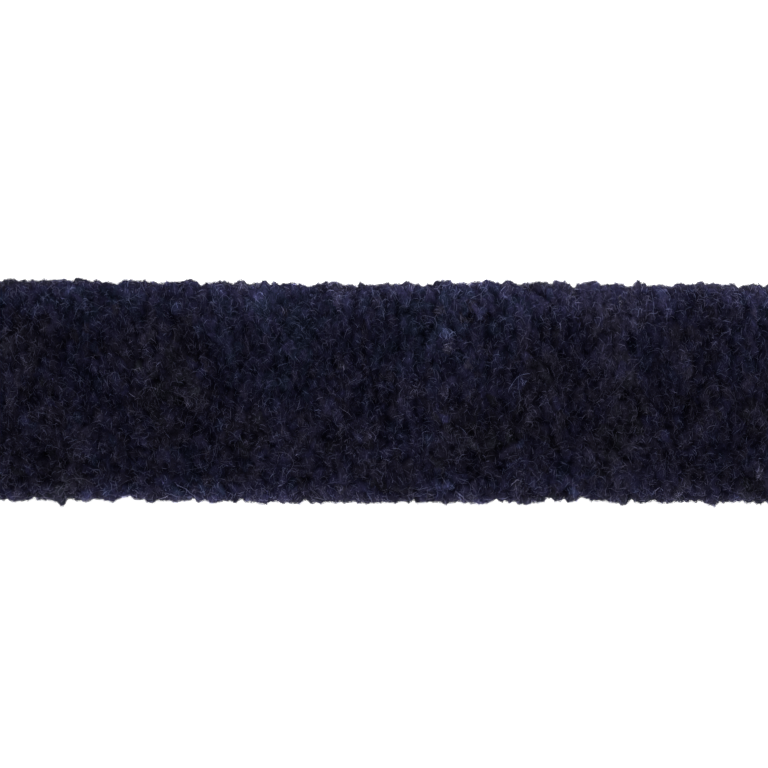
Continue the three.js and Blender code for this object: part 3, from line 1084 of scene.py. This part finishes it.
def curls(count, points, step_scale, steady, chancy, paler, uneven):
    """Lines of some points each for count hairs, with their shades and hues.

    The heading turns by a steady amount and a little chance at every step. Over the middle hairs start off
    across the braid, more or less, and near a rim any way. Most rise from the surface and come back to it,
    and a few stray ones climb all the way and stand off. They are painted paler than the fur, each by its
    own chance, a painted highlight for the light that fine hairs catch.
    """
    start_along = rng.uniform(-HALF_ALONG, HALF_ALONG, count)
    start_across = rng.uniform(-HAIR_REACH, HAIR_REACH, count)
    step = rng.gamma(STEP_SHAPE, step_scale, count)[:, None]
    bend = rng.normal(0, steady, count)[:, None] + rng.normal(0, chancy, (count, points - 1))
    sway = rng.normal(0, 1, count) * (HAIR_SWAY + RIM_SWAY * near_rim(start_across))
    heading = math.pi / 2 + sway[:, None] + np.cumsum(bend, axis=1)
    zero = np.zeros((count, 1))
    s = start_along[:, None] + np.concatenate([zero, np.cumsum(step * np.cos(heading), axis=1)], axis=1)
    t = start_across[:, None] + np.concatenate([zero, np.cumsum(step * np.sin(heading), axis=1)], axis=1)
    s = np.clip(s, -HALF_ALONG, HALF_ALONG)
    t = np.clip(t, -HALF_ACROSS, HALF_ACROSS)
    share = np.linspace(0, 1, points)
    lift = rng.uniform(*HAIR_LIFT, count)[:, None]
    above = (lift * np.sin(math.pi * share) ** 0.5 + HAIR_CLEARANCE) * calm(t)
    stray = rng.uniform(0, 1, (count, 1)) < STRAY_SHARE
    above = np.where(stray, STRAY_LIFT * lift * share * calm(t), above)
    above[:, 0] = -HAIR_ROOT_DEPTH
    lines = dressed_point(s, t, above)
    lines[..., 2] = np.maximum(lines[..., 2], SKIRT)
    middle = points // 2
    row, column, _ = tufts_at(s[:, middle], t[:, middle])
    chance = rng.normal(paler, uneven, count)
    shade, hue = look(row, column, t[:, middle], np.full(count, LIGHT_ABOVE), chance)
    hue = hue + rng.normal(HAIR_HUE["bluer"], HAIR_HUE["spread"], count)
    return lines, shade, np.clip(hue, 0, 1)


# %% Lay the loose hairs
HAIR_WIDTH = 0.00005
# paler: how much paler than the fur the hairs are painted, a painted highlight.
SHORT_HAIRS = {
    "count": 16000,
    "points": 4,
    "step_scale": 0.00011,
    "steady": 0.40,
    "chancy": 0.30,
    "paler": 0.95,
    "uneven": 0.4,
}
LONG_HAIRS = {
    "count": 180,
    "points": 14,
    "step_scale": 0.000085,
    "steady": 0.14,
    "chancy": 0.16,
    "paler": 0.9,
    "uneven": 0.2,
}


def lay_hairs(name, kind):
    """A piece of spindles along the curly lines of one kind of hair."""
    lines, shade, hue = curls(**kind)
    shade = np.repeat(shade[:, None], lines.shape[1], axis=1)
    return strand_piece(name, lines, HAIR_WIDTH, shade, hue, hair_wool)


hairs = lay_hairs("loose_hairs", SHORT_HAIRS)
long_hairs = lay_hairs("long_hairs", LONG_HAIRS)

# %% [markdown]
# ## The plaited ground
#
# The tufts are held by a flat plait of navy strands. It is hidden from above, but it is the face that
# gets sewn or glued down, and it shows when the braid is turned over. A plait is two families of strands
# that cross at forty-five degrees and pass over and under each other in turn, and every strand turns back
# at the edge of the tape, which leaves a row of small loops there. Each strand could be its own tube. One
# thin closed sheet with the crossings raised on its back takes a third of the faces, and it lies flat
# where it rests.

# %% The plait's relief
LOOP_PITCH = 0.005
LOOP_DEPTH = 0.0004
STRAND_WIDTH = LOOP_PITCH / math.sqrt(2)
PLAIT_RELIEF = 0.00055
ROUNDNESS = 0.6
SINKING = 0.45
TWISTS = 2.5
PLY_SLANT = 0.9
# Painted shade on the plait: the dark of the gaps where strands pass under, and how much lighter a strand's
# top and its ply crests are painted.
PLAIT_SHADE = {"gap": 0.25, "strand": 0.55, "ply": 0.55}
GROUND_THICKNESS = ground_high[2] - ground_low[2]
GROUND_HALF_WIDTH = ground_high[1] - LOOP_DEPTH
GROUND_HALF_LENGTH = ground_high[0]


def plait(x, y):
    """Height from 0 to 1 of the strand that shows at a place, its shade, and its plies from 0 to 1.

    Turned by forty-five degrees, the tape is a board of squares one strand wide. On squares of one colour
    the strands of one family are on top, and on the others those that cross them. A strand is rounded
    from side to side, and sinks towards both ends of its square, where it passes under. Its plies are a
    cosine wave that runs slantwise round it. The shade is painted shade: darkest where a strand sinks and
    passes under, lighter on top of a strand and on the crests of its plies.
    """
    one = (x + y) / math.sqrt(2) / STRAND_WIDTH
    other = (x - y) / math.sqrt(2) / STRAND_WIDTH
    first_on_top = (np.floor(one) + np.floor(other)) % 2 < 1
    from_one = 2 * (one - np.floor(one)) - 1
    from_other = 2 * (other - np.floor(other)) - 1
    sideways = np.where(first_on_top, from_one, from_other)
    lengthways = np.where(first_on_top, from_other, from_one)
    height = (1 - sideways**2) ** ROUNDNESS * (1 - SINKING * lengthways**2)
    twist = np.where(first_on_top, other, one) * TWISTS + sideways * PLY_SLANT
    plies = 0.5 + 0.5 * np.cos(2 * math.pi * twist)
    shade = PLAIT_SHADE["gap"] + (PLAIT_SHADE["strand"] + PLAIT_SHADE["ply"] * plies) * height
    return height, shade, plies


print("strands", round(STRAND_WIDTH * 1000, 1), "mm wide,", round(GROUND_THICKNESS * 1000, 1), "mm thick")


# %% [markdown]
# The sheet is a closed tube, as the skin is: each ring runs over the plaited back from edge to edge and
# then over the plain top. Its edge swells and shrinks as a sine wave, once for every loop.

# %% Build the ground
GROUND_STEP = 0.0005
GROUND_TOP_PARTS = 3
ROUNDED_SHARE = 0.02
PLY_RELIEF = 0.00005
EDGE_LIFT = GROUND_THICKNESS / 3
PLAIN_SHADE = 0.5
GROUND_HUE = 0.45


def ground():
    """Rings along the tape: over the plaited back from edge to edge, then over the plain top."""
    rings = int(2 * GROUND_HALF_LENGTH / GROUND_STEP) + 1
    over = int(2 * GROUND_HALF_WIDTH / GROUND_STEP) + 1
    x, share = np.meshgrid(
        np.linspace(-GROUND_HALF_LENGTH, GROUND_HALF_LENGTH, rings), np.linspace(-1, 1, over), indexing="ij"
    )
    edge = GROUND_HALF_WIDTH + LOOP_DEPTH * np.abs(np.sin(math.pi * x / LOOP_PITCH))
    height, shade, plies = plait(x, share * GROUND_HALF_WIDTH)
    rounding = 1 - (1 - unit(1 - np.abs(share), 0, ROUNDED_SHARE)) ** 2
    relief = PLAIT_RELIEF * (1 - height) - PLY_RELIEF * plies * height
    z = ground_low[2] + np.maximum(relief, 0) * rounding + (1 - rounding) * EDGE_LIFT
    back = np.stack([x, share * edge, z], axis=-1)
    top_share = np.linspace(1, -1, GROUND_TOP_PARTS + 1)
    top_x = np.repeat(x[:, :1], GROUND_TOP_PARTS + 1, axis=1)
    top_z = np.full(top_x.shape, ground_high[2])
    top = np.stack([top_x, top_share * edge[:, :1], top_z], axis=-1)
    shades = tube_values(shade, PLAIN_SHADE, GROUND_TOP_PARTS + 1)
    values = {"shade": shades, "hue": np.full(len(shades), GROUND_HUE)}
    return np.concatenate([back, top], axis=1), values


# %% Lay the ground under the pile
GROUND_HUES = [(0.0, (0.0110, 0.0105, 0.0260)), (1.0, (0.0125, 0.0125, 0.0300))]
ground_wool = wool("plaited navy strands", GROUND_HUES, gloss=0.10, grain=0.35)
ground_rings, ground_values = ground()
tape = make_piece("plaited_ground", *tube(ground_rings), ground_wool, ground_values)
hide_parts("ground_braid")
